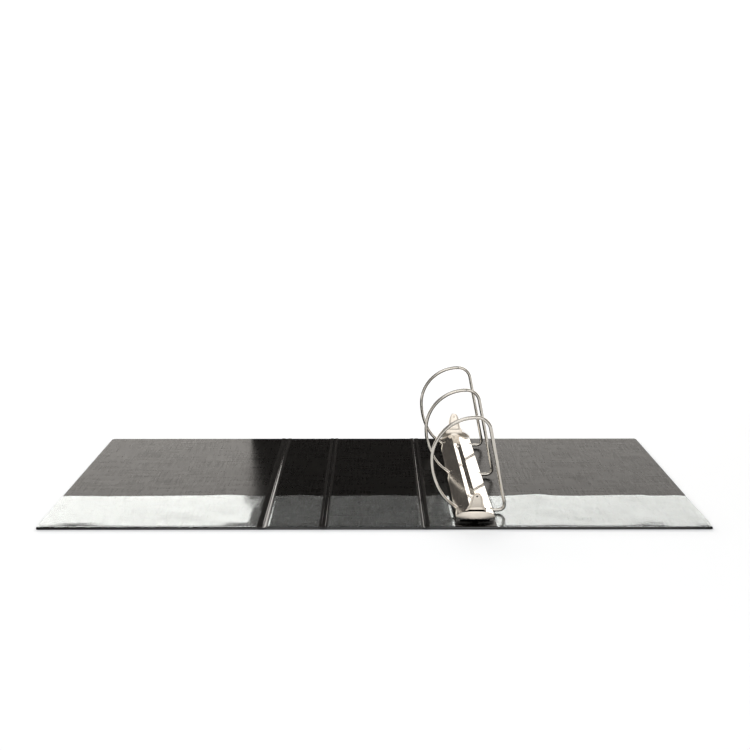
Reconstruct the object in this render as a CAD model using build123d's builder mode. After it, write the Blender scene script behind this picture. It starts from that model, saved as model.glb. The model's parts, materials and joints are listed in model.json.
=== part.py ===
from build123d import *
from math import cos, radians, sin, tan
import os

os.makedirs("parts", exist_ok=True)

# Slant-D ring view binder, lying open with its inside up.
# Frame: origin at the bottom centre, +X towards the free edge of the back cover,
# +Y towards the head of the sheets, +Z up. All sizes in millimetres.

# ---- Case: four boards joined by three welded vinyl webs -------------------------
case_height = 292.0  # foot to head
front_cover_width = 241.0
front_web_width = 8.0
strip_width = 60.0
strip_web_width = 5.5
spine_width = 106.0
back_web_width = 5.5
back_cover_width = 309.0

board_thickness = 2.0
outer_vinyl = 0.4
inner_vinyl = 0.4
weld_margin = 2.2  # vinyl outside the board's edge
inner_slope = 30.0  # degrees, where the inner vinyl drapes over the board's edge
corner_radius = 4.0
web_thickness = 0.8
web_clearance = 0.05  # between a web's round edge and the panel beside it

# ---- Clear sleeves: outside overlays and inside pockets --------------------------
film = 0.2
overlay_gap = 0.1
overlay_margin = 2.5
pocket_gap = 0.15
pocket_margin = 3.6
pocket_height = 82.0
weld_width = 1.6

# ---- Ring mechanism --------------------------------------------------------------
housing_offset = 52.0  # from the back board's hinge edge to the housing's middle
housing_width = 42.0
housing_length = 256.0
housing_rise = 11.95  # from the case to the crests
housing_wall_height = 4.95
housing_steel = 1.0
crest_half_gap = 4.75
groove_depth = 2.5
lip_width = 4.5

blade_steel = 1.0
blade_lift = 1.55  # underside of the closed blades above the case
blade_pivot_inset = 2.0  # pivot line from the housing's outer face
blade_bead = 0.75
blade_overhang = 0.8
blade_gap = 0.5

ring_pitch = 107.95
ring_count = 3
wire_radius = 2.0
ring_height = 112.2  # wire centre at the top of the rings, above the case
ring_seam_gap = 0.3
left_top_radius = 48.0
left_side_radius = 80.0
left_side_turn = 28.2
left_root_radius = 50.0
left_root_turn = 23.8
right_top_radius = 16.0
leg_lean = 11.8
foot_radius = 7.0
foot_height = 3.5  # wire centre above the case
foot_reach = 36.5  # from the housing's middle to the leg, measured at foot level
wire_slot_clearance = 0.6
foot_seat = 2.5  # how far the foot lies on its blade, inward of the pivot line

trigger_pivot_inset = 2.0  # from the housing's end
trigger_pivot_height = 6.35  # above the case, as are the next trigger heights
barrel_radius = 1.75
barrel_length = 11.4
pin_radius = 0.9
pin_clearance = 0.05
lug_thickness = 1.4
lug_gap = 0.3
trigger_steel = 1.4
arm_thickness = 1.2
tab_base_width = 23.0
tab_tip_width = 11.0
tab_lean = 17.0
tab_height = 36.9
tab_base_height = 6.7
tab_base_offset = 4.6  # tab's middle plane beyond the housing's end, at its base
tab_hole_radius = 0.9
tab_hole_drop = 4.2
flange_width = 42.6
flange_bottom_height = 3.9
flange_top_height = 12.1
flange_ends = 4.4  # outer face beyond the housing's end, at the flange's ends
flange_bulge = 4.6
nose_width = 11.0
nose_reach = 4.0  # inner edge of the nose beyond the pivot line
nose_thickness = 0.9
nose_clearance = 0.3  # between the nose and the blades above it
neck_width = 6.0
neck_clearance = 0.4

rivet_spacing = 168.0
rivet_radius = 2.5
rivet_head_radius = 4.5
rivet_head_height = 0.8
clinch_radius = 3.0
clinch_height = 1.2
rivet_clearance = 0.1
rivet_blade_clearance = 1.0

# ---- Levels and stations that follow from the sizes above ------------------------
half_height = case_height / 2
skin_level = film + overlay_gap
board_level = skin_level + outer_vinyl
board_top = board_level + board_thickness
case_top = board_top + inner_vinyl
case_width = (
    front_cover_width + front_web_width + strip_width + strip_web_width
    + spine_width + back_web_width + back_cover_width
)
front_left = -case_width / 2
strip_left = front_left + front_cover_width + front_web_width
spine_left = strip_left + strip_width + strip_web_width
back_left = spine_left + spine_width + back_web_width

middle = back_left + housing_offset  # ring mechanism's middle plane
half_housing = housing_width / 2
housing_end = housing_length / 2
crest_level = case_top + housing_rise
wall_level = case_top + housing_wall_height
groove_level = crest_level - groove_depth
blade_bottom = case_top + blade_lift
blade_top = blade_bottom + blade_steel
blade_end = housing_end + blade_overhang
pivot_offset = half_housing - blade_pivot_inset
pivot_level = blade_bottom + blade_steel / 2
ring_stations = [(i - (ring_count - 1) / 2) * ring_pitch for i in range(ring_count)]
rivet_stations = [-rivet_spacing / 2, rivet_spacing / 2]
ring_top = case_top + ring_height
foot_level = case_top + foot_height
trigger_pivot = housing_end - trigger_pivot_inset
trigger_pivot_level = case_top + trigger_pivot_height
tab_base_level = case_top + tab_base_height
tab_top = case_top + tab_height
flange_bottom = case_top + flange_bottom_height
flange_top = case_top + flange_top_height
nose_top = blade_bottom - nose_clearance
nose_bottom = nose_top - nose_thickness

# name, left edge, width, outer corners rounded on the left, on the right
panels = [
    ("front", front_left, front_cover_width, True, False),
    ("strip", strip_left, strip_width, False, False),
    ("spine", spine_left, spine_width, False, False),
    ("back", back_left, back_cover_width, False, True),
]
webs = [
    ("front_web", front_left + front_cover_width, front_web_width),
    ("strip_web", strip_left + strip_width, strip_web_width),
    ("back_web", spine_left + spine_width, back_web_width),
]


def side_plane(x, y, z=0):
    """A plane seen from the foot of the case: local x is +X and local y is +Z."""
    return Plane((x, y, z), x_dir=(1, 0, 0), z_dir=(0, -1, 0))


def end_plane(x, y, z=0):
    """A plane across the case: local x is +Y, local y is +Z, and it faces +X."""
    return Plane((x, y, z), x_dir=(0, 1, 0), z_dir=(1, 0, 0))


def finish(builder, name):
    """Label a finished piece and write its STEP file."""
    builder.part.label = name
    export_step(builder.part, f"parts/{name}.step")


# ---- The four panels: overlay, outer vinyl, board, inner vinyl, pocket -----------
for name, left, width, round_left, round_right in panels:
    centre = left + width / 2
    is_back = name == "back"

    # Clear sleeve on the outside: film welded on three edges, open at the head.
    sleeve_width = width - 2 * overlay_margin
    sleeve_height = case_height - 2 * overlay_margin
    with BuildPart() as overlay:
        with BuildSketch(Plane((centre, 0, 0))):
            Rectangle(sleeve_width, sleeve_height)
        extrude(amount=skin_level)
        with BuildSketch(Plane((centre, weld_width / 2, film))):
            Rectangle(sleeve_width - 2 * weld_width, sleeve_height - weld_width)
        extrude(amount=overlay_gap, mode=Mode.SUBTRACT)
    finish(overlay, f"{name}_overlay")

    with BuildPart() as outer_skin:
        with BuildSketch(Plane((centre, 0, skin_level))) as footprint:
            Rectangle(width, case_height)
            corners = []
            if round_left:
                corners += footprint.vertices().group_by(Axis.X)[0]
            if round_right:
                corners += footprint.vertices().group_by(Axis.X)[-1]
            if corners:
                fillet(corners, corner_radius)
        extrude(amount=outer_vinyl)
    finish(outer_skin, f"{name}_outer_skin")

    board_width = width - 2 * weld_margin
    board_height = case_height - 2 * weld_margin
    with BuildPart() as board:
        with BuildSketch(Plane((centre, 0, board_level))):
            Rectangle(board_width, board_height)
        extrude(amount=board_thickness)
        if is_back:
            with BuildSketch(Plane.XY.offset(board_level)):
                with Locations(*[(middle, y) for y in rivet_stations]):
                    Circle(rivet_radius + rivet_clearance)
            extrude(amount=board_thickness, mode=Mode.SUBTRACT)
            with BuildSketch(Plane.XY.offset(board_level)):
                with Locations(*[(middle, y) for y in rivet_stations]):
                    Circle(rivet_head_radius + rivet_clearance)
            extrude(amount=rivet_head_height, mode=Mode.SUBTRACT)
    finish(board, f"{name}_board")

    # Inner vinyl drapes over the board and is welded to the outer vinyl all round.
    with BuildPart() as inner_skin:
        with BuildSketch(Plane((centre, 0, board_level))) as footprint:
            Rectangle(width, case_height)
            corners = []
            if round_left:
                corners += footprint.vertices().group_by(Axis.X)[0]
            if round_right:
                corners += footprint.vertices().group_by(Axis.X)[-1]
            if corners:
                fillet(corners, corner_radius)
        extrude(amount=board_thickness + inner_vinyl, taper=inner_slope)
        with BuildSketch(Plane((centre, 0, board_level))):
            Rectangle(board_width, board_height)
        extrude(amount=board_thickness, mode=Mode.SUBTRACT)
        if is_back:
            with BuildSketch(Plane.XY.offset(board_top)):
                with Locations(*[(middle, y) for y in rivet_stations]):
                    Circle(rivet_radius + rivet_clearance)
            extrude(amount=inner_vinyl, mode=Mode.SUBTRACT)
    finish(inner_skin, f"{name}_inner_skin")

    # Clear pocket along the foot of the inside, open towards the head. On the back
    # cover the ring mechanism divides it in two.
    spans = [(f"{name}_pocket", left + pocket_margin, left + width - pocket_margin)]
    if is_back:
        spans = [
            ("back_pocket_inner", left + pocket_margin, middle - half_housing - 1.5),
            ("back_pocket", middle + half_housing + 1.5, left + width - pocket_margin),
        ]
    pocket_foot = -half_height + pocket_margin
    for pocket_name, x0, x1 in spans:
        with BuildPart() as pocket:
            with BuildSketch(Plane(((x0 + x1) / 2, pocket_foot, case_top))):
                Rectangle(x1 - x0, pocket_height, align=(Align.CENTER, Align.MIN))
            extrude(amount=pocket_gap + film)
            with BuildSketch(Plane(((x0 + x1) / 2, pocket_foot + weld_width, case_top))):
                Rectangle(
                    x1 - x0 - 2 * weld_width, pocket_height - weld_width,
                    align=(Align.CENTER, Align.MIN),
                )
            extrude(amount=pocket_gap, mode=Mode.SUBTRACT)
        finish(pocket, pocket_name)

# ---- Hinge webs: a strip of welded vinyl that bends along both its edges ---------
web_level = skin_level + web_thickness / 2
for name, left, width in webs:
    with BuildPart() as web:
        with BuildSketch(side_plane(left + width / 2, half_height, web_level)):
            SlotOverall(width - 2 * web_clearance, web_thickness)
        extrude(amount=case_height)
    finish(web, name)

# ---- Ring housing: a sprung channel with a groove along its top ------------------
root_heading = 90 - left_side_turn - left_root_turn  # of the wire at its blade
slot_width = 2 * (wire_radius + wire_slot_clearance)
with BuildPart() as housing:
    with BuildSketch(side_plane(middle, housing_end)) as outline:
        Polygon(
            (-half_housing, case_top), (half_housing, case_top),
            (half_housing, wall_level), (crest_half_gap, crest_level),
            (0, groove_level), (-crest_half_gap, crest_level),
            (-half_housing, wall_level),
            align=None,
        )
        rounded = outline.vertices().filter_by_position(Axis.Z, case_top + 1, crest_level + 1)
        fillet(rounded, 1.2)
    extrude(amount=housing_length)
    # Hollow: the same outline one thickness of steel inside.
    slope_shift = housing_steel / cos(radians(23.3))
    valley_shift = housing_steel / cos(radians(27.8))
    with BuildSketch(side_plane(middle, housing_end)):
        Polygon(
            (-half_housing + housing_steel, case_top + housing_steel),
            (half_housing - housing_steel, case_top + housing_steel),
            (half_housing - housing_steel, wall_level - slope_shift + 0.43 * housing_steel),
            (crest_half_gap, crest_level - slope_shift),
            (0, groove_level - valley_shift),
            (-crest_half_gap, crest_level - slope_shift),
            (-half_housing + housing_steel, wall_level - slope_shift + 0.43 * housing_steel),
            align=None,
        )
    extrude(amount=housing_length, mode=Mode.SUBTRACT)
    with BuildSketch(Plane((middle, 0, case_top))):
        Rectangle(housing_width - 2 * lip_width, housing_length)
    extrude(amount=housing_steel, mode=Mode.SUBTRACT)
    # Slots for the left half rings, across the left slope.
    with BuildSketch(Plane.XY.offset(wall_level - 1.2)):
        with Locations(*[(middle - 17.75, y) for y in ring_stations]):
            SlotOverall(9.5, slot_width)
    extrude(amount=housing_rise, mode=Mode.SUBTRACT)
    # Slots for the feet of the right half rings, through the right wall.
    with BuildSketch(Plane.XY.offset(case_top + housing_steel)):
        with Locations(*[(middle + half_housing, y) for y in ring_stations]):
            Rectangle(2 * (blade_pivot_inset + foot_seat + wire_slot_clearance), slot_width)
    extrude(amount=foot_height + wire_radius + wire_slot_clearance - housing_steel, mode=Mode.SUBTRACT)
    # Holes and flat seats for the clinched rivets, in the groove.
    with BuildSketch(Plane.XY.offset(groove_level)):
        with Locations(*[(middle, y) for y in rivet_stations]):
            Circle(clinch_radius + rivet_clearance)
    extrude(amount=groove_depth, mode=Mode.SUBTRACT)
    with BuildSketch(Plane.XY.offset(groove_level - 2 * housing_steel)):
        with Locations(*[(middle, y) for y in rivet_stations]):
            Circle(rivet_radius)
    extrude(amount=2 * housing_steel, mode=Mode.SUBTRACT)
    # Lugs under the crests carry the trigger pins.
    lug_x = barrel_length / 2 + lug_gap
    for end in (-1, 1):
        for side in (-1, 1):
            lug_middle = middle + side * (lug_x + lug_thickness / 2)
            lug_plane = end_plane(lug_middle - lug_thickness / 2, end * trigger_pivot, trigger_pivot_level)
            with BuildSketch(lug_plane):
                Circle(barrel_radius)
                Rectangle(
                    2 * barrel_radius, crest_level - 1.6 - trigger_pivot_level,
                    align=(Align.CENTER, Align.MIN),
                )
                Circle(pin_radius, mode=Mode.SUBTRACT)
            extrude(amount=lug_thickness)
finish(housing, "ring_housing")

# ---- Blades: two plates that rock about their outer edges inside the housing -----
for side, name in ((-1, "left_blade"), (1, "right_blade")):
    pivot_x = middle + side * pivot_offset
    with BuildPart() as blade:
        with BuildSketch(side_plane(pivot_x, blade_end, pivot_level)):
            Circle(blade_bead)
            with Locations((-side * (pivot_offset - blade_gap / 2) / 2, 0)):
                Rectangle(pivot_offset - blade_gap / 2, blade_steel)
        extrude(amount=2 * blade_end)
        with BuildSketch(Plane.XY.offset(pivot_level - blade_bead)):
            with Locations(*[(middle, y) for y in rivet_stations]):
                Circle(rivet_radius + rivet_blade_clearance)
            with Locations(*[(middle, end * blade_end) for end in (-1, 1)]):
                Rectangle(
                    neck_width + 2 * neck_clearance,
                    2 * (blade_end - trigger_pivot + nose_reach + neck_clearance),
                )
        extrude(amount=2 * blade_bead, mode=Mode.SUBTRACT)
    finish(blade, name)

# ---- Half rings: bent wire, one half staked to each blade ------------------------
leg_turn = 90 - leg_lean
leg_top_x = middle + foot_reach - (ring_top - foot_level) * tan(radians(leg_lean))
seam_x = leg_top_x - right_top_radius * tan(radians(leg_turn / 2))
foot_turn = 180 - leg_turn
foot_tangent = foot_radius * tan(radians(foot_turn / 2))
leg_length = (ring_top - foot_level) / cos(radians(leg_lean))
leg_length -= right_top_radius * tan(radians(leg_turn / 2)) + foot_tangent
foot_end_x = middle + pivot_offset - foot_seat

for number, y in enumerate(ring_stations, start=1):
    ring_plane = side_plane(0, y)

    with BuildPart() as left_half:
        with BuildLine(ring_plane) as path:
            top = CenterArc((seam_x, ring_top - left_top_radius), left_top_radius, 90, 90)
            flank = JernArc(top @ 1, top % 1, left_side_radius, left_side_turn)
            root = JernArc(flank @ 1, flank % 1, left_root_radius, left_root_turn)
            drop = (root @ 1).Z - blade_bottom
            Line(root @ 1, (root @ 1) + (root % 1) * (drop / sin(radians(root_heading))))
        with BuildSketch(Plane(path.wire() @ 0, z_dir=path.wire() % 0)):
            Circle(wire_radius)
        sweep()
        with BuildSketch(Plane.XY.offset(blade_top)):
            with Locations((middle, y)):
                Rectangle(housing_width, housing_width)
        extrude(amount=-blade_top, mode=Mode.SUBTRACT)
        with BuildSketch(Plane((seam_x, y, ring_top))):
            Rectangle(ring_seam_gap, 3 * wire_radius)
        extrude(amount=2 * wire_radius, both=True, mode=Mode.SUBTRACT)
    finish(left_half, f"ring_left_{number}")

    with BuildPart() as right_half:
        with BuildLine(ring_plane) as path:
            top = JernArc((seam_x, ring_top), (1, 0), right_top_radius, -leg_turn)
            leg = Line(top @ 1, (top @ 1) + (top % 1) * leg_length)
            bend = JernArc(leg @ 1, leg % 1, foot_radius, -foot_turn)
            Line(bend @ 1, (foot_end_x, foot_level))
        with BuildSketch(Plane(path.wire() @ 0, z_dir=path.wire() % 0)):
            Circle(wire_radius)
        sweep()
        with BuildSketch(side_plane(middle + pivot_offset, y, pivot_level)):
            Circle(blade_bead)
            with Locations((0, blade_steel / 2)):
                Rectangle(half_housing, half_housing, align=(Align.MAX, Align.MAX))
        extrude(amount=half_housing, both=True, mode=Mode.SUBTRACT)
        with BuildSketch(Plane((seam_x, y, ring_top))):
            Rectangle(ring_seam_gap, 3 * wire_radius)
        extrude(amount=2 * wire_radius, both=True, mode=Mode.SUBTRACT)
    finish(right_half, f"ring_right_{number}")

# ---- Triggers: thumb tab, curved flange, pivot barrel and nose under the blades --
flange_radius = ((flange_width / 2) ** 2 + flange_bulge**2) / (2 * flange_bulge)
for end, name in ((-1, "trigger_near"), (1, "trigger_far")):
    pivot_y = end * trigger_pivot
    base_y = end * (housing_end + tab_base_offset)
    # Tab plane: leans outwards from its base, local y runs up the tab.
    tab_plane = Plane(
        (middle, base_y, tab_base_level),
        x_dir=(1, 0, 0),
        z_dir=(0, -cos(radians(tab_lean)), end * sin(radians(tab_lean))),
    )
    tab_length = (tab_top - tab_base_level) / cos(radians(tab_lean))
    half_base = tab_base_width / 2
    half_tip = tab_tip_width / 2
    with BuildPart() as trigger:
        with BuildSketch(tab_plane):
            with BuildLine():
                low = Line((half_base, 0), (half_base, 5.5))
                swoop = Spline(
                    low @ 1, (half_tip + 1.1, tab_length * 0.55), (half_tip, tab_length - half_tip),
                    tangents=[(-0.25, 1), (0, 1)],
                )
                tip = CenterArc((0, tab_length - half_tip), half_tip, 0, 180)
                swoop_left = Spline(
                    tip @ 1, (-half_tip - 1.1, tab_length * 0.55), (-half_base, 5.5),
                    tangents=[(0, -1), (-0.25, -1)],
                )
                Polyline(swoop_left @ 1, (-half_base, 0), (half_base, 0))
            make_face()
            with Locations((0, tab_length - tab_hole_drop)):
                Circle(tab_hole_radius, mode=Mode.SUBTRACT)
        extrude(amount=trigger_steel / 2, both=True)
        # Flange: an arc in plan, bulging away from the housing.
        arc_y = end * (housing_end + flange_ends + flange_bulge - flange_radius)
        with BuildSketch(Plane((middle, arc_y, flange_bottom))):
            Circle(flange_radius)
            Circle(flange_radius - trigger_steel, mode=Mode.SUBTRACT)
            with Locations((0, end * flange_radius)):
                Rectangle(flange_width, 3 * flange_bulge, mode=Mode.INTERSECT)
        extrude(amount=flange_top - flange_bottom)
        # Arm from the pivot barrel out to the flange.
        arm_reach = end * (housing_end + flange_ends + flange_bulge - 2 * trigger_steel)
        with BuildSketch(Plane((middle, 0, trigger_pivot_level - arm_thickness / 2))):
            with Locations((0, (pivot_y + arm_reach) / 2)):
                Rectangle(neck_width, abs(arm_reach - pivot_y))
            with Locations((0, (end * (housing_end + 1.2) + arm_reach) / 2)):
                Rectangle(tab_base_width, abs(arm_reach - end * (housing_end + 1.2)))
            with Locations((0, arm_reach)):
                Rectangle(9.0, 2.5 * trigger_steel)
        extrude(amount=arm_thickness)
        # Neck and nose: down between the blades, then under both of them.
        neck_inset = arm_thickness / 2
        with BuildSketch(Plane((middle, pivot_y - end * 2 * neck_inset, nose_bottom))):
            Rectangle(neck_width, arm_thickness)
        extrude(amount=trigger_pivot_level - nose_bottom)
        nose_depth = nose_reach - neck_inset
        with BuildSketch(Plane((middle, pivot_y - end * (neck_inset + nose_depth / 2), nose_bottom))):
            Rectangle(nose_width, nose_depth)
        extrude(amount=nose_thickness)
        # Barrel with its bore.
        with BuildSketch(end_plane(middle - barrel_length / 2, pivot_y, trigger_pivot_level)):
            Circle(barrel_radius)
        extrude(amount=barrel_length)
        with BuildSketch(end_plane(middle - barrel_length / 2, pivot_y, trigger_pivot_level)):
            Circle(pin_radius + pin_clearance)
        extrude(amount=barrel_length, mode=Mode.SUBTRACT)
    finish(trigger, name)

    pin_half = barrel_length / 2 + lug_gap + lug_thickness
    with BuildPart() as pin:
        with BuildSketch(end_plane(middle - pin_half, pivot_y, trigger_pivot_level)):
            Circle(pin_radius)
        extrude(amount=2 * pin_half)
    finish(pin, name.replace("trigger", "trigger_pin"))

# ---- Rivets: head let into the board, shank clinched in the groove ---------------
for name, y in (("rivet_near", rivet_stations[0]), ("rivet_far", rivet_stations[1])):
    with BuildPart() as rivet:
        with BuildSketch(Plane((middle, y, board_level))):
            Circle(rivet_head_radius)
        extrude(amount=rivet_head_height)
        with BuildSketch(Plane((middle, y, board_level))):
            Circle(rivet_radius)
        extrude(amount=groove_level - board_level)
        with BuildSketch(Plane((middle, y, groove_level))):
            Circle(clinch_radius)
        extrude(amount=clinch_height)
        fillet(rivet.faces().sort_by(Axis.Z)[-1].edges(), clinch_height / 2)
    finish(rivet, name)
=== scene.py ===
import json
import math

import bmesh
import bpy
from mathutils import Matrix, Vector, noise

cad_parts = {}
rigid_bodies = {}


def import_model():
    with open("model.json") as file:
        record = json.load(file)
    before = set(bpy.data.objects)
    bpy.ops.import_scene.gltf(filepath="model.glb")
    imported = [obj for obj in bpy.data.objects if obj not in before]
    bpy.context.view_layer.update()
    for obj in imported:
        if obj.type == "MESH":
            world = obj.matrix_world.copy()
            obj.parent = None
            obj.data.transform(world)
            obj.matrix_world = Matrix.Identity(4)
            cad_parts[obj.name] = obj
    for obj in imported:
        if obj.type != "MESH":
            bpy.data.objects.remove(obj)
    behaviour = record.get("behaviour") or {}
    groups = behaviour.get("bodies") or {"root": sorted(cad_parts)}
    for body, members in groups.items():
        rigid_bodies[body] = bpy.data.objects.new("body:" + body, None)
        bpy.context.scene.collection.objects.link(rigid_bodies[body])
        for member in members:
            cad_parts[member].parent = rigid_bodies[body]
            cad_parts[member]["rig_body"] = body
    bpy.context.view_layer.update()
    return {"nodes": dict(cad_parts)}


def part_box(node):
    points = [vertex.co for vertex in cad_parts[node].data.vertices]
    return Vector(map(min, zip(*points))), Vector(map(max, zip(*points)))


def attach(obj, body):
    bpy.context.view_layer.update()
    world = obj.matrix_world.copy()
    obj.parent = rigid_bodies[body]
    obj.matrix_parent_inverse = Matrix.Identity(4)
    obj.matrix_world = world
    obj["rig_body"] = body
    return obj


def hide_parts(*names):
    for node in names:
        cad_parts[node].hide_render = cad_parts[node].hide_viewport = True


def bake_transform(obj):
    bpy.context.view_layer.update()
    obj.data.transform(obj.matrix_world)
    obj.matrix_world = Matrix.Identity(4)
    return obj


# Slant-D ring view binder, lying open. The frame is in metres; the sizes below are in
# millimetres and are turned into metres where they are used.
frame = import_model()
MM = 0.001

PANELS = ("front", "strip", "spine", "back")
corner_radius = 4.0
edge_angle = 38.0  # a bend sharper than this is shaded as a crease

# Inner vinyl draping over a board: distance in from the edge, level above the floor.
drape = [(0.0, 1.2), (0.3, 1.4), (0.6, 2.3), (0.95, 2.88), (1.4, 3.07), (2.4, 3.1)]
vinyl = 0.4
lining_ripple = 0.10
lining_mesh = 9.0

# Clear films
film = 0.2
weld = 1.6
weld_gap = 0.02  # a pocket film's height over the lining at its welds
pocket_gap = 0.14  # and how much more it has inside them
pocket_sag = 0.1  # how far it may dip back from that
pocket_mesh = 3.5
pocket_lift = 0.5
pocket_ripple = 0.6
pocket_wave = 3.0  # how far the open edge wanders
pocket_gape = 4.5  # how far it stands up in places
pocket_spread = 2.2  # how much nearer the panel's edge the film's weld runs than its pocket
closed_edge = 336.0  # where the shut front cover's free edge rests on the back pocket
closed_flat = 8.0  # how far to each side of that the pocket lies flat
sleeve_mesh = 12.0
sleeve_gap = 0.08  # a sleeve's height over the covering, taken up at its welds

# Outer vinyl: how far its welded rim is pressed in, then the insets that step back out
rim_press = 0.14
rim_steps = [(1.4, 0.0), (0.5, 0.10), (0.4, 0.04)]

# Hinge troughs
trough_floor = 0.7
trough_ends = 5.0  # how far from the head and foot a groove closes
trough_slope = [(0.0, 0.0), (0.12, 0.02), (0.4, 0.42), (0.7, 0.8), (0.88, 0.95), (1.05, 1.0)]

# Ring wire
left_bends = [("arc", 48.0, 90.0), ("arc", 80.0, 28.2), ("arc", 50.0, 23.8), ("run", 40.0)]
top_bend = 16.0
leg_lean = 11.8
foot_bend = 7.0
foot_inset = 4.5  # end of the foot, in from the housing's right side
wire_sides = 24

# Triggers: how far out from the housing's end, and levels above the floor
# The tab's half width at each level
tab_halves = [
    (9.9, 11.0), (13.0, 11.8), (15.5, 12.1), (17.5, 11.2), (19.5, 10.1), (21.6, 9.2), (24.0, 8.3),
    (26.9, 7.5), (30.0, 7.0), (32.6, 6.6), (35.0, 6.0), (37.0, 5.1), (38.5, 3.9), (39.5, 2.5), (40.0, 1.0),
]
tab_stand = 3.3
tab_lean = 19.0
tab_steel = 1.2
tab_sill = 19.0
tab_flare = 1.7
tab_border = 1.0
tab_hole = 1.15
tab_hole_drop = 3.6
tab_shoulder = 0.7  # where the sill starts to drop, as a share of the half width
tab_rim = 0.62  # where the raised border starts, as the same share
tab_rim_foot = 1.9  # and how far up it reaches from the sill
flange_span = 42.6
flange_bulge = 4.6
flange_ends = 4.4
flange_foot = 8.3
flange_steel = 1.4
flange_tops = [(0, 17.4), (7, 17.1), (13, 16.0), (16, 15.0), (19, 13.2), (20.5, 11.6), (21.3, 10.4)]
flange_curl = [(0.12, 0.25), (0.4, 0.15), (0.7, 0.0), (0.88, -0.2), (1.0, -0.35)]
pivot_inset = 2.0
pivot_level = 9.45
barrel_half = 5.7
barrel_outer = 1.75
pin_bore = 0.95

# Levers behind the flanges: the half widths, ends and thicknesses of their bars
lever_steel = 1.2
arm_half = 3.0
shelf_half = 11.0
shelf_back = 1.3
backing_half = 11.2
backing_foot = 14.6
backing_lap = 1.6  # how far it stands up behind the tab
backing_depth = 1.5
neck_half = 4.5
neck_top = 15.2
plug_half = 1.5
plug_rise = 1.1
heel_half = 3.0
nose_half = 5.5
nose_level = 3.45
nose_steel = 0.9


# ---- Materials -------------------------------------------------------------------
class Level:
    """A value that varies over a surface. Arithmetic on levels adds Math nodes."""

    def __init__(self, finish, socket):
        self.finish, self.socket = finish, socket

    def _maths(self, operation, first, second):
        return self.finish.node("ShaderNodeMath", {"operation": operation}, {0: first, 1: second})

    def __add__(self, other):
        return self._maths("ADD", self, other)

    def __radd__(self, other):
        return self._maths("ADD", other, self)

    def __sub__(self, other):
        return self._maths("SUBTRACT", self, other)

    def __rsub__(self, other):
        return self._maths("SUBTRACT", other, self)

    def __mul__(self, other):
        return self._maths("MULTIPLY", self, other)

    def __rmul__(self, other):
        return self._maths("MULTIPLY", other, self)

    def __pow__(self, other):
        return self._maths("POWER", self, other)


class Finish:
    """A procedural material built around one Principled shader."""

    def __init__(self, name, **constants):
        self.material = bpy.data.materials.new(name)
        self.material.use_nodes = True
        self.tree = self.material.node_tree
        self.shader = self.tree.nodes["Principled BSDF"]
        self.output = self.tree.nodes["Material Output"]
        self.place = self.node("ShaderNodeTexCoord", output="Object")
        self.shade(**constants)

    def set(self, socket, value):
        if isinstance(value, Level):
            self.tree.links.new(value.socket, socket)
        else:
            socket.default_value = value

    def node(self, kind, settings=None, sockets=None, output=0):
        made = self.tree.nodes.new(kind)
        for setting, value in (settings or {}).items():
            setattr(made, setting, value)
        for socket, value in (sockets or {}).items():
            self.set(made.inputs[socket], value)
        return Level(self, made.outputs[output])

    def shade(self, **sockets):
        for name, value in sockets.items():
            self.set(self.shader.inputs[name.replace("_", " ").title().replace("Ior", "IOR")], value)

    def grain(self, per_metre, detail=2.0):
        """Noise with its own count of features per metre along x, y and z."""
        placed = self.node("ShaderNodeMapping", None, {"Vector": self.place, "Scale": per_metre})
        return self.node(
            "ShaderNodeTexNoise", None,
            {"Vector": placed, "Scale": 1.0, "Detail": detail, "Roughness": 0.5},
        )

    def spread(self, level, low, high, from_low=0.3, from_high=0.7):
        """Stretches the middle of a level's range to run from low to high."""
        return self.node(
            "ShaderNodeMapRange", None,
            {"Value": level, "From Min": from_low, "From Max": from_high, "To Min": low, "To Max": high},
        )

    def tint(self, level, first, second):
        """A colour that runs from first to second as the level goes from 0 to 1."""
        return self.node(
            "ShaderNodeMix", {"data_type": "RGBA"}, {0: level, 6: (*first, 1), 7: (*second, 1)}, output=2
        )

    def relief(self, height, depth):
        """A normal from a height, where depth is in millimetres."""
        return self.node(
            "ShaderNodeBump", None, {"Height": height, "Distance": depth * MM, "Strength": 1.0}
        )


def linen_vinyl():
    """Black vinyl embossed like linen: threads both ways, with a few thicker slubs."""
    finish = Finish("linen_embossed_vinyl", ior=1.5, specular_ior_level=0.02, coat_roughness=0.22)
    threads = finish.grain((110, 900, 300), detail=2) + finish.grain((900, 110, 300), detail=2)
    slubs = finish.grain((22, 250, 300), detail=1) + finish.grain((450, 34, 300), detail=1)
    cloud = finish.grain((14, 14, 14))
    weave = threads * 0.35 + slubs
    finish.shade(
        base_color=finish.tint(
            finish.spread(weave, 0, 1, 1.0, 1.7), (0.0008, 0.0007, 0.0006), (0.0024, 0.0021, 0.0018)
        ),
        roughness=finish.spread(weave, 0.24, 0.32, 1.0, 1.7) + finish.spread(cloud, -0.01, 0.02),
        coat_weight=finish.spread(weave, 0.12, 0.30, 1.0, 1.7),
        normal=finish.relief(threads, 0.008),
    )
    return finish.material


def pressed_vinyl():
    """Black vinyl pressed smooth by the welding bar, in the hinges and along the rims."""
    finish = Finish("pressed_weld_vinyl", ior=1.5, specular_ior_level=0.5)
    fine = finish.grain((700, 120, 700), detail=3)
    finish.shade(
        base_color=finish.tint(
            finish.spread(fine, 0, 1), (0.0015, 0.0014, 0.0014), (0.005, 0.0046, 0.0044)
        ),
        roughness=finish.spread(fine, 0.13, 0.22),
        normal=finish.relief(fine, 0.008),
    )
    return finish.material


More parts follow.
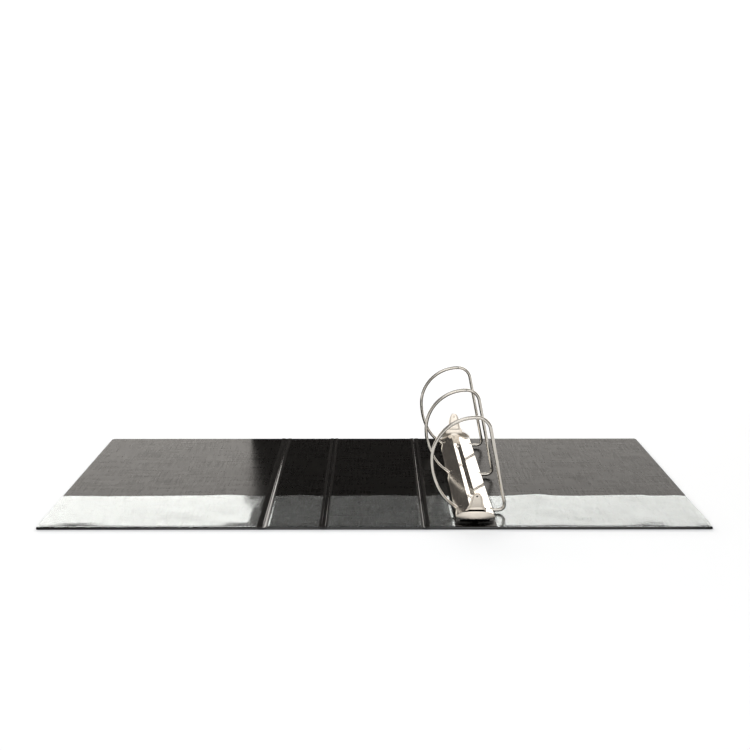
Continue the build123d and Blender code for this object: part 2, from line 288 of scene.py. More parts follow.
def leather_vinyl():
    """Black vinyl with a fine pressed leather grain for the outside of the case."""
    finish = Finish("leather_grain_vinyl", ior=1.5)
    cells = finish.node(
        "ShaderNodeTexVoronoi", {"feature": "SMOOTH_F1"},
        {"Vector": finish.place, "Scale": 900.0, "Smoothness": 0.6, "Randomness": 0.9},
    )
    fine = finish.grain((2600, 2600, 2600), detail=3)
    cloud = finish.grain((18, 18, 18))
    skin = cells * 0.8 + fine * 0.35
    finish.shade(
        base_color=finish.tint(
            finish.spread(skin, 0, 1, 0.2, 0.9), (0.0025, 0.0024, 0.0024), (0.007, 0.0066, 0.0063)
        ),
        roughness=finish.spread(cloud, 0.30, 0.38) + finish.spread(fine, -0.03, 0.05),
        normal=finish.relief(skin, 0.025),
    )
    return finish.material


def clear_film(name, haze, ripple):
    """Clear vinyl film: gloss that grows at a slant, a little haze, and soft ripples."""
    finish = Finish(name, metallic=1.0, base_color=(0.90, 0.965, 1.0, 1))
    broad = finish.grain((22, 30, 22), detail=2)
    small = finish.grain((120, 120, 120), detail=3)
    normal = finish.relief(broad + small * 0.07, ripple)
    finish.shade(roughness=finish.spread(small, 0.14, 0.22), normal=normal)
    slant = finish.node("ShaderNodeLayerWeight", None, {"Blend": 0.5, "Normal": normal}, output=1)
    gloss = 0.055 + slant**5 * 0.84
    clear = finish.node("ShaderNodeBsdfTransparent", None, {"Color": (0.985, 0.99, 0.985, 1)})
    milk = finish.node("ShaderNodeBsdfDiffuse", None, {"Color": (0.75, 0.74, 0.73, 1)})
    hazy = finish.spread(broad, haze * 0.6, haze * 1.4)
    body = finish.node("ShaderNodeMixShader", None, {0: hazy, 1: clear, 2: milk})
    shine = Level(finish, finish.shader.outputs[0])
    surface = finish.node("ShaderNodeMixShader", None, {0: gloss, 1: body, 2: shine})
    finish.set(finish.output.inputs["Surface"], surface)
    return finish.material


def nickel(name, colour, roughness, brushed=None):
    """Nickel-plated steel, polished or with fine brushing along one direction."""
    finish = Finish(name, metallic=1.0)
    lines = finish.grain(brushed or (900, 60, 900), detail=3)
    cloud = finish.grain((60, 60, 60), detail=3)
    specks = finish.spread(finish.grain((1400, 1400, 1400), detail=1), 0, 1, 0.68, 0.78)
    darker = tuple(part * 0.82 for part in colour)
    finish.shade(
        base_color=finish.tint(finish.spread(cloud, 0, 0.6) + specks * 0.4, colour, darker),
        roughness=finish.spread(lines, roughness * 0.75, roughness * 1.35) + specks * 0.12,
        normal=finish.relief(lines, 0.0015),
    )
    return finish.material


def chipboard():
    """Grey-brown board, seen only at its edges."""
    finish = Finish("chipboard_core", ior=1.45)
    layers = finish.grain((60, 60, 3500), detail=3)
    fibre = finish.grain((700, 700, 900), detail=4)
    finish.shade(
        base_color=finish.tint(
            finish.spread(layers * 0.5 + fibre * 0.5, 0, 1), (0.20, 0.165, 0.125), (0.34, 0.29, 0.23)
        ),
        roughness=finish.spread(fibre, 0.8, 0.95),
        normal=finish.relief(fibre, 0.1),
    )
    return finish.material


linen = linen_vinyl()
pressed = pressed_vinyl()
leather = leather_vinyl()
pocket_clear = clear_film("clear_pocket_film", 0.003, 0.5)
sleeve_clear = clear_film("clear_sleeve_film", 0.012, 0.25)
polished = nickel("polished_nickel_plate", (0.90, 0.86, 0.80), 0.10)
wire_plate = nickel("nickel_plated_wire", (0.60, 0.565, 0.51), 0.10, (900, 900, 900))
satin = nickel("satin_nickel_plate", (0.93, 0.855, 0.755), 0.46, (1100, 90, 1100))
# Near-black steel that paints shade on the levers' outward faces, in the slot under each tab and behind its
# hole.
painted_shade_steel = nickel("painted_shade_dark_steel", (0.02, 0.018, 0.016), 0.5, (900, 900, 900))
blade_plate = nickel("zinc_plated_blade", (0.66, 0.65, 0.62), 0.26, (1000, 50, 1000))
rivet_plate = nickel("rivet_steel_plate", (0.62, 0.60, 0.57), 0.28, (700, 700, 700))
core = chipboard()


# ---- Making pieces ---------------------------------------------------------------
def store(bm, name, material, nodes):
    """Turns a finished bmesh into a piece that stands for CAD nodes and hides them."""
    for face in bm.faces:
        face.smooth = True
    for edge in bm.edges:
        if len(edge.link_faces) == 2 and edge.calc_face_angle() > math.radians(edge_angle):
            edge.smooth = False
    mesh = bpy.data.meshes.new(name)
    bm.to_mesh(mesh)
    bm.free()
    piece = bpy.data.objects.new(name, mesh)
    bpy.context.scene.collection.objects.link(piece)
    mesh.materials.append(material)
    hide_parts(*nodes)
    return piece


def body_of(node):
    return frame["nodes"][node]["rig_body"]


def flat_sheet(low, high, level, rounded=()):
    """One face at a level, with some of its corners rounded: pairs of side signs."""
    bm = bmesh.new()
    bmesh.ops.create_grid(bm, x_segments=1, y_segments=1, size=0.5)
    middle = (low + high) / 2
    bmesh.ops.scale(bm, vec=(high.x - low.x, high.y - low.y, 1), verts=bm.verts)
    bmesh.ops.translate(bm, vec=(middle.x, middle.y, level), verts=bm.verts)
    corners = [
        v for v in bm.verts
        if (1 if v.co.x > middle.x else -1, 1 if v.co.y > middle.y else -1) in rounded
    ]
    if corners:
        bmesh.ops.bevel(
            bm, geom=corners, offset=corner_radius * MM, affect="VERTICES",
            segments=6, profile=0.5, material=-1,
        )
    return bm


def slice_sheet(bm, faces_at, axis, stations):
    """Cuts the faces that faces_at picks along planes across an axis."""
    normal = Vector((1, 0, 0)) if axis == 0 else Vector((0, 1, 0))
    for station in stations:
        faces = faces_at()
        geometry = set(faces)
        for face in faces:
            geometry.update(face.edges)
            geometry.update(face.verts)
        bmesh.ops.bisect_plane(bm, geom=list(geometry), plane_co=normal * station, plane_no=normal)


def steps(low, high, pitch):
    """Evenly spaced stations inside a span, about one pitch apart."""
    count = max(2, round((high - low) / (pitch * MM)))
    return [low + (high - low) * i / count for i in range(1, count)]


def fade(distance, width):
    """0 at an edge, rising smoothly to 1 at a width in from it."""
    share = min(1.0, max(0.0, distance / (width * MM)))
    return share * share * (3 - 2 * share)


def swell(x, y, layer):
    """Smooth noise from -1 to 1 over a plane; each layer is a pattern of its own."""
    return noise.noise(Vector((x, y, layer)))


def inward(co, low, high):
    """The distance from a point to the nearest side of a rectangle."""
    return min(co.x - low.x, high.x - co.x, co.y - low.y, high.y - co.y)


def outer_corners(panel):
    return {"front": [(-1, -1), (-1, 1)], "back": [(1, -1), (1, 1)]}.get(panel, [])


# ---- Case ------------------------------------------------------------------------
def lining(panel):
    """Inner vinyl: draped over the board's edges, with a slow ripple across it."""
    node = f"{panel}_inner_skin"
    low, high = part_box(node)
    top = drape[-1][1] * MM
    bm = flat_sheet(low, high, drape[0][1] * MM, outer_corners(panel))
    bm.faces.ensure_lookup_table()
    middle = bm.faces[0]
    if middle.normal.z < 0:
        bmesh.ops.reverse_faces(bm, faces=[middle])
    for (was_in, was_up), (now_in, now_up) in zip(drape, drape[1:]):
        bmesh.ops.inset_region(
            bm, faces=[middle], thickness=(now_in - was_in) * MM, depth=(now_up - was_up) * MM,
            use_boundary=True, use_even_offset=True,
        )

    def on_top():
        return [f for f in bm.faces if all(v.co.z > top - 1e-6 for v in f.verts)]

    slice_sheet(bm, on_top, 0, steps(low.x, high.x, lining_mesh))
    slice_sheet(bm, on_top, 1, steps(low.y, high.y, lining_mesh))
    for v in bm.verts:
        calm = fade(inward(v.co, low, high) - 3 * MM, 20)
        v.co.z += calm * lining_ripple * MM * swell(v.co.x * 16, v.co.y * 12, 1.7)
    bmesh.ops.solidify(bm, geom=bm.faces[:], thickness=vinyl * MM)
    for face in bm.faces:
        face.material_index = int(face.calc_center_median().z < top - 0.5 * MM)
    piece = store(bm, f"{panel}_lining", linen, [node])
    piece.data.materials.append(pressed)
    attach(piece, body_of(node))


def covering(panel):
    """Outer vinyl: flat under the board, with its welded rim pressed a little thinner."""
    node = f"{panel}_outer_skin"
    low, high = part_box(node)
    bm = flat_sheet(low, high, high.z, outer_corners(panel))
    bm.faces.ensure_lookup_table()
    face = bm.faces[0]
    if face.normal.z < 0:
        bmesh.ops.reverse_faces(bm, faces=[face])
    bmesh.ops.solidify(bm, geom=[face], thickness=high.z - low.z)
    under = min(bm.faces, key=lambda f: f.calc_center_median().z)
    bmesh.ops.translate(bm, vec=(0, 0, rim_press * MM), verts=list(under.verts))
    for thickness, depth in rim_steps:
        bmesh.ops.inset_region(
            bm, faces=[under], thickness=thickness * MM, depth=depth * MM,
            use_boundary=True, use_even_offset=True,
        )
    piece = store(bm, f"{panel}_covering", leather, [node])
    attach(piece, body_of(node))


def slice_film(bm, low, high, rims, pitch):
    """Cuts a film into a grid, with closer lines along its three welded sides."""
    rims = [rim * MM for rim in rims]
    across = [low.x + r for r in rims] + [high.x - r for r in reversed(rims)]
    across += steps(low.x + 4 * MM, high.x - 4 * MM, pitch)
    along = [low.y + r for r in rims] + steps(low.y + 4 * MM, high.y, pitch)
    slice_sheet(bm, lambda: bm.faces[:], 0, across)
    slice_sheet(bm, lambda: bm.faces[:], 1, along)


def thicken_film(bm):
    """Turns a film's faces up and gives it its thickness."""
    for face in bm.faces:
        if face.normal.z < 0:
            face.normal_flip()
    bmesh.ops.solidify(bm, geom=bm.faces[:], thickness=-film * MM)
    bmesh.ops.recalc_face_normals(bm, faces=bm.faces[:])


def pocket_film(node, name):
    """Inside pocket: film welded on three sides, lifting softly along its open edge."""
    low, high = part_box(node)
    low = low - Vector((pocket_spread, pocket_spread, 0)) * MM
    if node != "back_pocket_inner":
        high.x += pocket_spread * MM
    if node == "back_pocket":
        low.x += pocket_spread * MM
    bm = flat_sheet(low, high, low.z)
    slice_film(bm, low, high, [0.5, weld, weld + 0.6, weld + 1.8], pocket_mesh)
    height = high.y - low.y
    roomy = 1.0 if high.x - low.x > 150 * MM else 0.35
    for v in bm.verts:
        welded = min(v.co.x - low.x, high.x - v.co.x, v.co.y - low.y)
        free = fade(welded - weld * MM, 0.6)
        slack = fade(welded - weld * MM, 26)
        rise = (v.co.y - low.y) / height
        lift = pocket_lift * slack * (0.25 + 0.75 * rise**2)
        slow = swell(v.co.x * 22 + v.co.y * 9, v.co.y * 14, 4.1)
        folds = swell(v.co.x * 55 + v.co.y * 30, v.co.y * 12, 8.3)
        off_weld = fade(welded - weld * MM, 9)
        pucker = math.exp(-welded / (20 * MM)) * off_weld * swell(v.co.x * 17, v.co.y * 20, 11.9)
        corner = math.hypot((high.x - v.co.x) / 1.8, v.co.y - low.y)
        drawn = math.exp(-corner / (48 * MM)) * off_weld
        drawn *= swell((v.co.x * 0.32 + v.co.y * 0.95) * 62, 5.1, 3.3)
        wander = swell(v.co.x * 15, 2.2, 6.6)
        gape = pocket_gape * slack * rise**3 * max(0.0, wander)
        wave = slack * (0.8 * slow + 0.45 * folds * rise) + 3.0 * pucker + 1.9 * drawn
        stir = max(-pocket_sag * free, lift + (pocket_ripple * wave + gape))
        pressed_flat = 1.0
        if node == "back_pocket":
            pressed_flat = fade(abs(v.co.x - closed_edge * MM) - closed_flat * MM, 16)
        v.co.z += (weld_gap + pocket_gap * free * pressed_flat + pressed_flat * roomy * stir) * MM
        edge = fade(v.co.y - (high.y - 8 * MM), 8)
        v.co.y += edge * slack * roomy * pocket_wave * MM * wander
    thicken_film(bm)
    piece = store(bm, name, pocket_clear, [node])
    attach(piece, body_of(node))


def sleeve_film(panel):
    """Outside sleeve: film welded to the covering on three sides, open at the head."""
    node = f"{panel}_overlay"
    low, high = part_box(node)
    bm = flat_sheet(low, high, low.z + sleeve_gap * MM)
    slice_film(bm, low, high, [0.5, weld, weld + 0.7], sleeve_mesh)
    for v in bm.verts:
        welded = min(v.co.x - low.x, high.x - v.co.x, v.co.y - low.y)
        v.co.z -= sleeve_gap * MM * fade(welded - weld * MM, 0.6)
    thicken_film(bm)
    piece = store(bm, f"{panel}_sleeve", sleeve_clear, [node])
    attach(piece, body_of(node))


def trough(web, left_panel, right_panel):
    """A hinge: two half strips, one beside each panel, that meet in a groove."""
    left_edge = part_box(f"{left_panel}_outer_skin")[1].x
    right_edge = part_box(f"{right_panel}_outer_skin")[0].x
    low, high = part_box(web)
    middle = (left_edge + right_edge) / 2
    half = middle - left_edge
    rise = drape[-1][1] - trough_floor
    for side, panel in ((-1, left_panel), (1, right_panel)):
        edge = middle + side * half
        bm = bmesh.new()
        outline = [
            (middle + side * half * share, (trough_floor + rise * up) * MM) for share, up in trough_slope
        ]
        outline.append((edge + side * drape[-1][0] * MM, (drape[-1][1] + 0.05) * MM))
        outline += [(edge + side * inset * MM, (level + 0.01) * MM) for inset, level in reversed(drape)]
        outline += [(edge, low.z), (middle, low.z)]
        points = [bm.verts.new((x, low.y, z)) for x, z in outline]
        face = bm.faces.new(points)
        made = bmesh.ops.extrude_face_region(bm, geom=[face])
        moved = [g for g in made["geom"] if isinstance(g, bmesh.types.BMVert)]
        bmesh.ops.translate(bm, vec=(0, high.y - low.y, 0), verts=moved)
        head, foot = high.y - trough_ends * MM, low.y + trough_ends * MM
        ends = [low.y + 2 * MM, foot, head, high.y - 2 * MM]
        slice_sheet(bm, lambda: bm.faces[:], 1, ends + steps(foot, head, 24))
        for v in bm.verts:
            if v.co.z > low.z + 0.3 * MM and side * (v.co.x - middle) < half - 1e-6:
                closed = 1 - fade(min(v.co.y - low.y, high.y - v.co.y), trough_ends)
                v.co.z += (drape[-1][1] * MM - v.co.z) * 0.8 * closed
        bmesh.ops.recalc_face_normals(bm, faces=bm.faces[:])
        name = f"{web.replace('web', 'hinge')}_{'left' if side < 0 else 'right'}"
        piece = store(bm, name, pressed, [web])
        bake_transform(piece)


for panel in PANELS:
    lining(panel)
    covering(panel)
    sleeve_film(panel)
for node in ("front_pocket", "strip_pocket", "spine_pocket", "back_pocket_inner", "back_pocket"):
    pocket_film(node, f"{node}_film")
trough("front_web", "front", "strip")
trough("strip_web", "strip", "spine")
trough("back_web", "spine", "back")


# ---- Ring mechanism --------------------------------------------------------------
def bent_wire(start, heading, moves, radius, y):
    """A round wire in the plane y, bent as moves say: an arc's radius and turn, or a run."""
    bm = bmesh.new()
    x, z = start
    facing = Matrix.Translation((x, y, z)) @ Matrix.Rotation(-heading, 4, "Y")
    facing = facing @ Matrix.Rotation(math.pi / 2, 4, "Y")
    bmesh.ops.create_circle(bm, cap_ends=False, segments=wire_sides, radius=radius, matrix=facing)
    last = bm.edges[:]
    for kind, size, turn in moves:
        if kind == "arc":
            way = math.copysign(1, turn)
            centre = Vector((x - way * size * math.sin(heading), y, z + way * size * math.cos(heading)))
            grown = bmesh.ops.spin(
                bm, geom=last + list({v for e in last for v in e.verts}), cent=centre, axis=(0, -1, 0),
                angle=turn, steps=max(6, int(abs(turn) * size / (1.6 * MM))),
            )["geom_last"]
            heading += turn
            x = centre.x + way * size * math.sin(heading)
            z = centre.z - way * size * math.cos(heading)
        else:
            grown = bmesh.ops.extrude_edge_only(bm, edges=last)["geom"]
            run = Vector((math.cos(heading), 0, math.sin(heading))) * size
            ahead = [g for g in grown if isinstance(g, bmesh.types.BMVert)]
            bmesh.ops.translate(bm, vec=run, verts=ahead)
            x, z = x + run.x, z + run.z
        last = [g for g in grown if isinstance(g, bmesh.types.BMEdge) and len(g.link_faces) == 1]
    return bm


def cap_wire(bm, name, node):
    """Closes a wire's ends, softens their rims and stores it."""
    rims = [e for e in bm.edges if len(e.link_faces) == 1]
    bmesh.ops.holes_fill(bm, edges=rims)
    bmesh.ops.bevel(
        bm, geom=[e for e in rims if e.is_valid], offset=0.25 * MM, affect="EDGES",
        segments=2, profile=0.5, material=-1,
    )
    bmesh.ops.recalc_face_normals(bm, faces=bm.faces[:])
    piece = store(bm, name, wire_plate, [node])
    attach(piece, body_of(node))


def ring(number):
    left_low, left_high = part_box(f"ring_left_{number}")
    right_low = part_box(f"ring_right_{number}")[0]
    y = (left_low.y + left_high.y) / 2
    radius = (left_high.y - left_low.y) / 2
    top = left_high.z - radius
    gap = right_low.x - left_high.x
    blade_top = left_low.z

    moves = [
        (kind, size * MM, math.radians(turn)) if kind == "arc" else (kind, size * MM, 0)
        for kind, size, turn in [(*move, 0)[:3] for move in left_bends]
    ]
    bm = bent_wire((left_high.x, top), math.pi, moves, radius, y)
    bmesh.ops.bisect_plane(
        bm, geom=bm.verts[:] + bm.edges[:] + bm.faces[:], plane_co=(0, 0, blade_top),
        plane_no=(0, 0, -1), clear_outer=True,
    )
    cap_wire(bm, f"ring_wire_left_{number}", f"ring_left_{number}")

    foot = right_low.z + radius
    lean = math.radians(leg_lean)
    leg_turn = math.radians(90 - leg_lean)
    foot_turn = math.radians(90 + leg_lean)
    leg = (top - foot) / math.cos(lean)
    leg -= (top_bend * math.tan(leg_turn / 2) + foot_bend * math.tan(foot_turn / 2)) * MM
    housing_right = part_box("ring_housing")[1].x
    seam = left_high.x + gap / 2
    leg_foot_x = seam + top_bend * MM * math.tan(leg_turn / 2) + (top - foot) * math.tan(lean)
    reach = leg_foot_x - foot_bend * MM * math.tan(foot_turn / 2) - (housing_right - foot_inset * MM)
    moves = [
        ("run", gap / 2, 0), ("arc", top_bend * MM, -leg_turn), ("run", leg, 0),
        ("arc", foot_bend * MM, -foot_turn), ("run", reach, 0),
    ]
    bm = bent_wire((seam, top), 0.0, moves, radius, y)
    bmesh.ops.bisect_plane(
        bm, geom=bm.verts[:] + bm.edges[:] + bm.faces[:], plane_co=(right_low.x, 0, 0),
        plane_no=(-1, 0, 0), clear_outer=True,
    )
    cap_wire(bm, f"ring_wire_right_{number}", f"ring_right_{number}")


def formed(node, name, material, bend):
    """A pressed steel part: the CAD form with its edges rolled over."""
    bm = bmesh.new()
    bm.from_mesh(frame["nodes"][node].data)
    bmesh.ops.remove_doubles(bm, verts=bm.verts[:], dist=0.002 * MM)
    bmesh.ops.dissolve_limit(bm, angle_limit=math.radians(1), verts=bm.verts[:], edges=bm.edges[:])
    sharp = [e for e in bm.edges if len(e.link_faces) == 2 and e.calc_face_angle() > math.radians(40)]
    bmesh.ops.bevel(
        bm, geom=sharp, offset=bend * MM, affect="EDGES", segments=2, profile=0.5,
        material=-1, clamp_overlap=True,
    )
    piece = store(bm, name, material, [node])
    even = piece.modifiers.new("flat_faces_stay_flat", "WEIGHTED_NORMAL")
    even.keep_sharp = True
    even.weight = 100
    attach(piece, body_of(node))


def between(stations, at):
    """Reads a value off a list of (station, value) pairs."""
    for (a, first), (b, second) in zip(stations, stations[1:]):
        if at <= b:
            return first + (second - first) * max(0.0, at - a) / (b - a)
    return stations[-1][1]


def thicken(bm, faces, thickness, bend):
    """Gives a pressed sheet its steel thickness and rolls its cut edges over."""
    rim = [e for f in faces for e in f.edges if len(e.link_faces) == 1]
    made = bmesh.ops.solidify(bm, geom=faces, thickness=thickness * MM)
    wall = [f for f in made["geom"] if isinstance(f, bmesh.types.BMFace)]
    cut = set()
    for face in {f for e in rim if e.is_valid for f in e.link_faces} | set(wall):
        cut.update(e for e in face.edges if e.is_manifold and e.calc_face_angle() > math.radians(50))
    bmesh.ops.bevel(
        bm, geom=list(cut), offset=bend * MM, affect="EDGES", segments=2, profile=0.5,
        material=-1, clamp_overlap=True,
    )


def tab_out(level):
    """How far out the leaning tab stands at a level above the floor."""
    return tab_stand + (level - tab_halves[0][0]) * math.tan(math.radians(tab_lean))


def thumb_tab(place, end):
    """The bell-shaped tab: a raised border round a sunk middle, with a small hole near its tip."""
    bm = bmesh.new()
    columns, rows = 24, 30
    tip = tab_halves[-1][0]

    def spot(share, climb):
        foot = tab_sill - tab_flare * fade((abs(share) - tab_shoulder) * MM, 0.3)
        level = foot + (tip - foot) * climb
        sides = fade((abs(share) - tab_rim) * MM, 0.2)
        border = max(sides, fade((foot + tab_rim_foot - level) * MM, 1.1))
        return place(share * between(tab_halves, level), tab_out(level) + border * tab_border, level)

    row = [bm.verts.new(spot(i * 2 / columns - 1, 0)) for i in range(columns + 1)]
    last = [bm.edges.new(pair) for pair in zip(row, row[1:])]
    for step in range(1, rows + 1):
        climb = math.sin(math.pi / 2 * step / rows)
        grown = bmesh.ops.extrude_edge_only(bm, edges=last)["geom"]
        ahead = [g for g in grown if isinstance(g, bmesh.types.BMVert)]
        ahead.sort(key=lambda v: v.co.x)
        for i, v in enumerate(ahead):
            v.co = spot(i * 2 / columns - 1, climb)
        last = [g for g in grown if isinstance(g, bmesh.types.BMEdge) and set(g.verts) <= set(ahead)]
    hole_level = tip - tab_hole_drop
    hole = place(0, tab_out(hole_level), hole_level)
    inside = [f for f in bm.faces if (f.calc_center_median() - hole).length < tab_hole * MM]
    bmesh.ops.delete(bm, geom=inside, context="FACES")
    for v in bm.verts:
        if v.is_boundary and (v.co - hole).length < 1.8 * tab_hole * MM:
            v.co = hole + (v.co - hole).normalized() * tab_hole * MM
    bmesh.ops.recalc_face_normals(bm, faces=bm.faces[:])
    if sum(f.normal.y for f in bm.faces) * end < 0:
        bmesh.ops.reverse_faces(bm, faces=bm.faces[:])
    thicken(bm, bm.faces[:], tab_steel, 0.25)
    return bm


def flange(place, end):
    """The curved flange: an arc in plan, whose top edge rises to a low dome."""
    bm = bmesh.new()
    half = flange_span / 2
    radius = (half**2 + flange_bulge**2) / (2 * flange_bulge)
    centre_out = flange_ends + flange_bulge - radius
    swing = math.asin(half / radius)
    first = bm.verts.new(place(-half, centre_out + radius * math.cos(swing), flange_foot))
    bmesh.ops.spin(
        bm, geom=[first], cent=place(0, centre_out, flange_foot), axis=(0, 0, -end),
        angle=2 * swing, steps=28,
    )
    last = bm.edges[:]
    middle = place(0, 0, 0).x
    for share, curl in flange_curl:
        grown = bmesh.ops.extrude_edge_only(bm, edges=last)["geom"]
        ahead = [g for g in grown if isinstance(g, bmesh.types.BMVert)]
        for v in ahead:
            top = between(flange_tops, abs(v.co.x - middle) / MM)
            v.co.z = (flange_foot + (top - flange_foot) * share) * MM
            v.co.y += end * curl * MM
        last = [g for g in grown if isinstance(g, bmesh.types.BMEdge) and set(g.verts) <= set(ahead)]
    bmesh.ops.recalc_face_normals(bm, faces=bm.faces[:])
    probe = max(bm.faces, key=lambda f: end * f.calc_center_median().y)
    if probe.normal.y * end < 0:
        bmesh.ops.reverse_faces(bm, faces=bm.faces[:])
    thicken(bm, bm.faces[:], flange_steel, 0.32)
    return bm


def block(bm, low, high, bend):
    """A bar with its long edges rolled over, between two corners."""
    verts = bmesh.ops.create_cube(bm, size=1)["verts"]
    size, middle = high - low, (low + high) / 2
    bmesh.ops.scale(bm, vec=[abs(part) for part in size], verts=verts)
    bmesh.ops.translate(bm, vec=middle, verts=verts)
    edges = list({e for v in verts for e in v.link_edges})
    bmesh.ops.bevel(
        bm, geom=edges, offset=bend * MM, affect="EDGES", segments=2, profile=0.5, material=-1,
    )


def lever(place, end):
    """Behind a trigger's flange: barrel, arm, shelf, backing web, neck, the plug behind
    the tab's hole, and the heel and nose under the blades. Faces turned outward are
    near-black painted shade, which darkens the slot under the tab and the tab's hole."""
    bm = bmesh.new()
    pivot = place(0, -pivot_inset, pivot_level)
    square = [
        bm.verts.new(pivot + Vector((side * barrel_half * MM, 0, radius * MM)))
        for side, radius in ((-1, pin_bore), (1, pin_bore), (1, barrel_outer), (-1, barrel_outer))
    ]
    ring_section = bm.faces.new(square)
    bmesh.ops.spin(
        bm, geom=ring_section.edges[:] + square, cent=pivot, axis=(1, 0, 0),
        angle=2 * math.pi, steps=28, use_merge=True,
    )
    bmesh.ops.delete(bm, geom=[ring_section], context="FACES_ONLY")
    reach = flange_ends + flange_bulge - 2 * flange_steel
    under, over = pivot_level - lever_steel / 2, pivot_level + lever_steel / 2
    block(bm, place(-arm_half, -pivot_inset + lever_steel, under), place(arm_half, reach, over), 0.2)
    block(bm, place(-shelf_half, shelf_back, under), place(shelf_half, tab_stand + 1.0, over), 0.2)

    upright = set(bm.verts)
    back, top = tab_stand - backing_depth, tab_sill + backing_lap
    block(
        bm, place(-backing_half, back, backing_foot), place(backing_half, tab_stand - 0.4, top), 0.3
    )
    block(
        bm, place(-neck_half, back, pivot_level - 0.5), place(neck_half, tab_stand - 0.5, neck_top), 0.3
    )
    bmesh.ops.rotate(
        bm, cent=place(0, tab_stand, tab_halves[0][0]),
        matrix=Matrix.Rotation(-end * math.radians(tab_lean), 3, "X"),
        verts=[v for v in bm.verts if v not in upright],
    )

    plug = tab_halves[-1][0] - tab_hole_drop
    block(
        bm, place(-plug_half, tab_out(plug) - 0.9, plug - plug_rise),
        place(plug_half, tab_out(plug) - 0.5, plug + plug_rise), 0.1,
    )
    block(
        bm, place(-heel_half, -pivot_inset - 1.8, nose_level),
        place(heel_half, -pivot_inset - 0.7, pivot_level), 0.15,
    )
    block(
        bm, place(-nose_half, -pivot_inset - 4.0, nose_level),
        place(nose_half, -pivot_inset - 1.1, nose_level + nose_steel), 0.15,
    )
    bmesh.ops.recalc_face_normals(bm, faces=bm.faces[:])
    # Outward faces take the near-black steel: painted shade in the slot and behind the tab's hole.
    for face in bm.faces:
        face.material_index = int(face.normal.y * end > 0.3)
    return bm


def trigger(node, end):
    channel_low, channel_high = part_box("ring_housing")
    middle = (channel_low.x + channel_high.x) / 2

    def place(across, out, level):
        return Vector((middle + across * MM, end * (channel_high.y + out * MM), level * MM))

    joined = bmesh.new()
    for part in (thumb_tab(place, end), flange(place, end), lever(place, end)):
        holding = bpy.data.meshes.new("part")
        part.to_mesh(holding)
        part.free()
        joined.from_mesh(holding)
        bpy.data.meshes.remove(holding)
    piece = store(joined, f"{node}_pressing", satin, [node])
    # Second material: the near-black painted shade on the lever's outward faces.
    piece.data.materials.append(painted_shade_steel)
    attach(piece, body_of(node))


for number in (1, 2, 3):
    ring(number)
formed("ring_housing", "housing_channel", polished, 0.18)
trigger("trigger_near", -1)
trigger("trigger_far", 1)

carried = {
    "left_blade": (blade_plate, "blade_steel"),
    "right_blade": (blade_plate, "blade_steel"),
    "rivet_near": (rivet_plate, "rivet_steel"),
    "rivet_far": (rivet_plate, "rivet_steel"),
    "trigger_pin_near": (rivet_plate, "rivet_steel"),
    "trigger_pin_far": (rivet_plate, "rivet_steel"),
}
for panel in PANELS:
    carried[f"{panel}_board"] = (core, "chipboard")
for node, (material, slot) in carried.items():
    part = frame["nodes"][node]
    part.data.materials.clear()
    part.data.materials.append(material)


# ---- Studio, in metres -----------------------------------------------------------
def plain(name, colour, roughness=0.9, glow=0.0):
    """A stage material in one colour."""
    material = bpy.data.materials.new(name)
    material.use_nodes = True
    shader = material.node_tree.nodes["Principled BSDF"]
    shader.inputs["Base Color"].default_value = (*colour, 1)
    shader.inputs["Roughness"].default_value = roughness
    shader.inputs["Specular IOR Level"].default_value = 0.2
    if glow:
        shader.inputs["Emission Color"].default_value = (1, 1, 1, 1)
        shader.inputs["Emission Strength"].default_value = glow
    return material


def card(name, corners, material):
    """A flat stage card through four points."""
    mesh = bpy.data.meshes.new(name)
    mesh.from_pydata(corners, [], [(0, 1, 2, 3)])
    made = bpy.data.objects.new(name, mesh)
    bpy.context.scene.collection.objects.link(made)
    mesh.materials.append(material)
    return made


floor_white = plain("studio_floor", (0.90, 0.915, 0.93), glow=0.22)
card("floor", [(-6, -6, 0), (6, -6, 0), (6, 6, 0), (-6, 6, 0)], floor_white)
backdrop_glow = Finish("studio_backdrop", base_color=(0.8, 0.8, 0.8, 1), emission_color=(1, 0.945, 0.88, 1))
across = backdrop_glow.node("ShaderNodeSeparateXYZ", None, {0: backdrop_glow.place}, output=0)
upward = backdrop_glow.node("ShaderNodeSeparateXYZ", None, {0: backdrop_glow.place}, output=2)
fall = backdrop_glow.spread(upward, 0.5, 1.4, 0.3, 1.2)
backdrop_glow.shade(emission_strength=backdrop_glow.spread(across, 3.3, 2.4, -0.4, 1.1) * fall)
card(
    "backdrop", [(-4, 1.9, -0.05), (4, 1.9, -0.05), (4, 1.9, 1.32), (-4, 1.9, 1.32)],
    backdrop_glow.material,
)

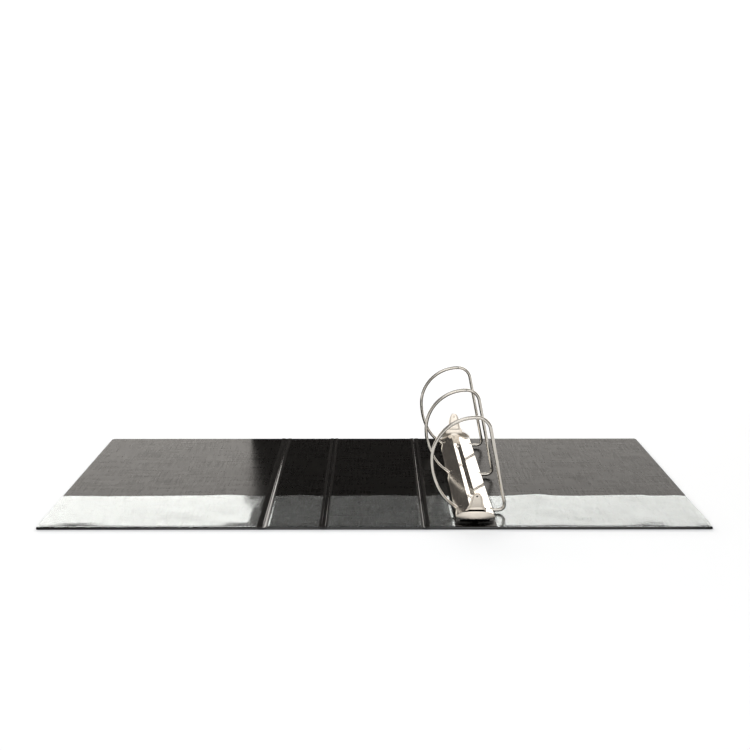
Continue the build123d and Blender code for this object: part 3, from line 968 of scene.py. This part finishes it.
# Dark flags behind the spine, seen only in reflections, keep the middle of the case black.
flag_grey = plain("studio_flag", (0.046, 0.040, 0.036), 0.6)
flag_plan = [(-0.176, 0.300), (-0.180, 0.198), (-0.115, 0.195), (0.106, 0.302), (0.137, 0.308)]
for i, ((x0, y0), (x1, y1)) in enumerate(zip(flag_plan, flag_plan[1:])):
    flag = card(f"flag_{i}", [(x0, y0, 0), (x1, y1, 0), (x1, y1, 0.292), (x0, y0, 0.292)], flag_grey)
    flag.visible_camera = False
    flag.visible_shadow = False
    flag.visible_diffuse = False

# The room is white where it is seen, and dimmer where it lights the binder.
world = bpy.data.worlds.new("studio")
world.use_nodes = True
room = world.node_tree.nodes["Background"]
room.inputs["Color"].default_value = (1, 1, 1, 1)
seen = world.node_tree.nodes.new("ShaderNodeLightPath")
strength = world.node_tree.nodes.new("ShaderNodeMapRange")
strength.inputs["To Min"].default_value = 0.32
strength.inputs["To Max"].default_value = 1.0
world.node_tree.links.new(seen.outputs["Is Camera Ray"], strength.inputs["Value"])
world.node_tree.links.new(strength.outputs["Result"], room.inputs["Strength"])
bpy.context.scene.world = world

softbox = bpy.data.lights.new("softbox", "AREA")
softbox.shape = "RECTANGLE"
softbox.size, softbox.size_y = 1.6, 1.0
softbox.energy = 6
lamp = bpy.data.objects.new("softbox", softbox)
bpy.context.scene.collection.objects.link(lamp)
lamp.location = (-0.5, -0.3, 1.7)
lamp.rotation_euler = (Vector((0, 0, 0)) - lamp.location).to_track_quat("-Z", "Y").to_euler()

fill = bpy.data.lights.new("front_fill", "AREA")
fill.shape = "RECTANGLE"
fill.size, fill.size_y = 2.4, 1.2
fill.energy = 19
fill_lamp = bpy.data.objects.new("front_fill", fill)
bpy.context.scene.collection.objects.link(fill_lamp)
fill_lamp.location = (0.2, -2.0, 1.1)
fill_lamp.rotation_euler = (Vector((0, 0, 0)) - fill_lamp.location).to_track_quat("-Z", "Y").to_euler()

camera = bpy.data.cameras.new("camera")
camera.lens = 41.95
camera.sensor_width = 36
eye = bpy.data.objects.new("camera", camera)
bpy.context.scene.collection.objects.link(eye)
eye.location = (-0.0013, -1.0155, 0.4074)
eye.rotation_euler = (math.radians(74.95), 0, math.radians(-0.11))
bpy.context.scene.camera = eye
bpy.context.scene.view_settings.view_transform = "Standard"
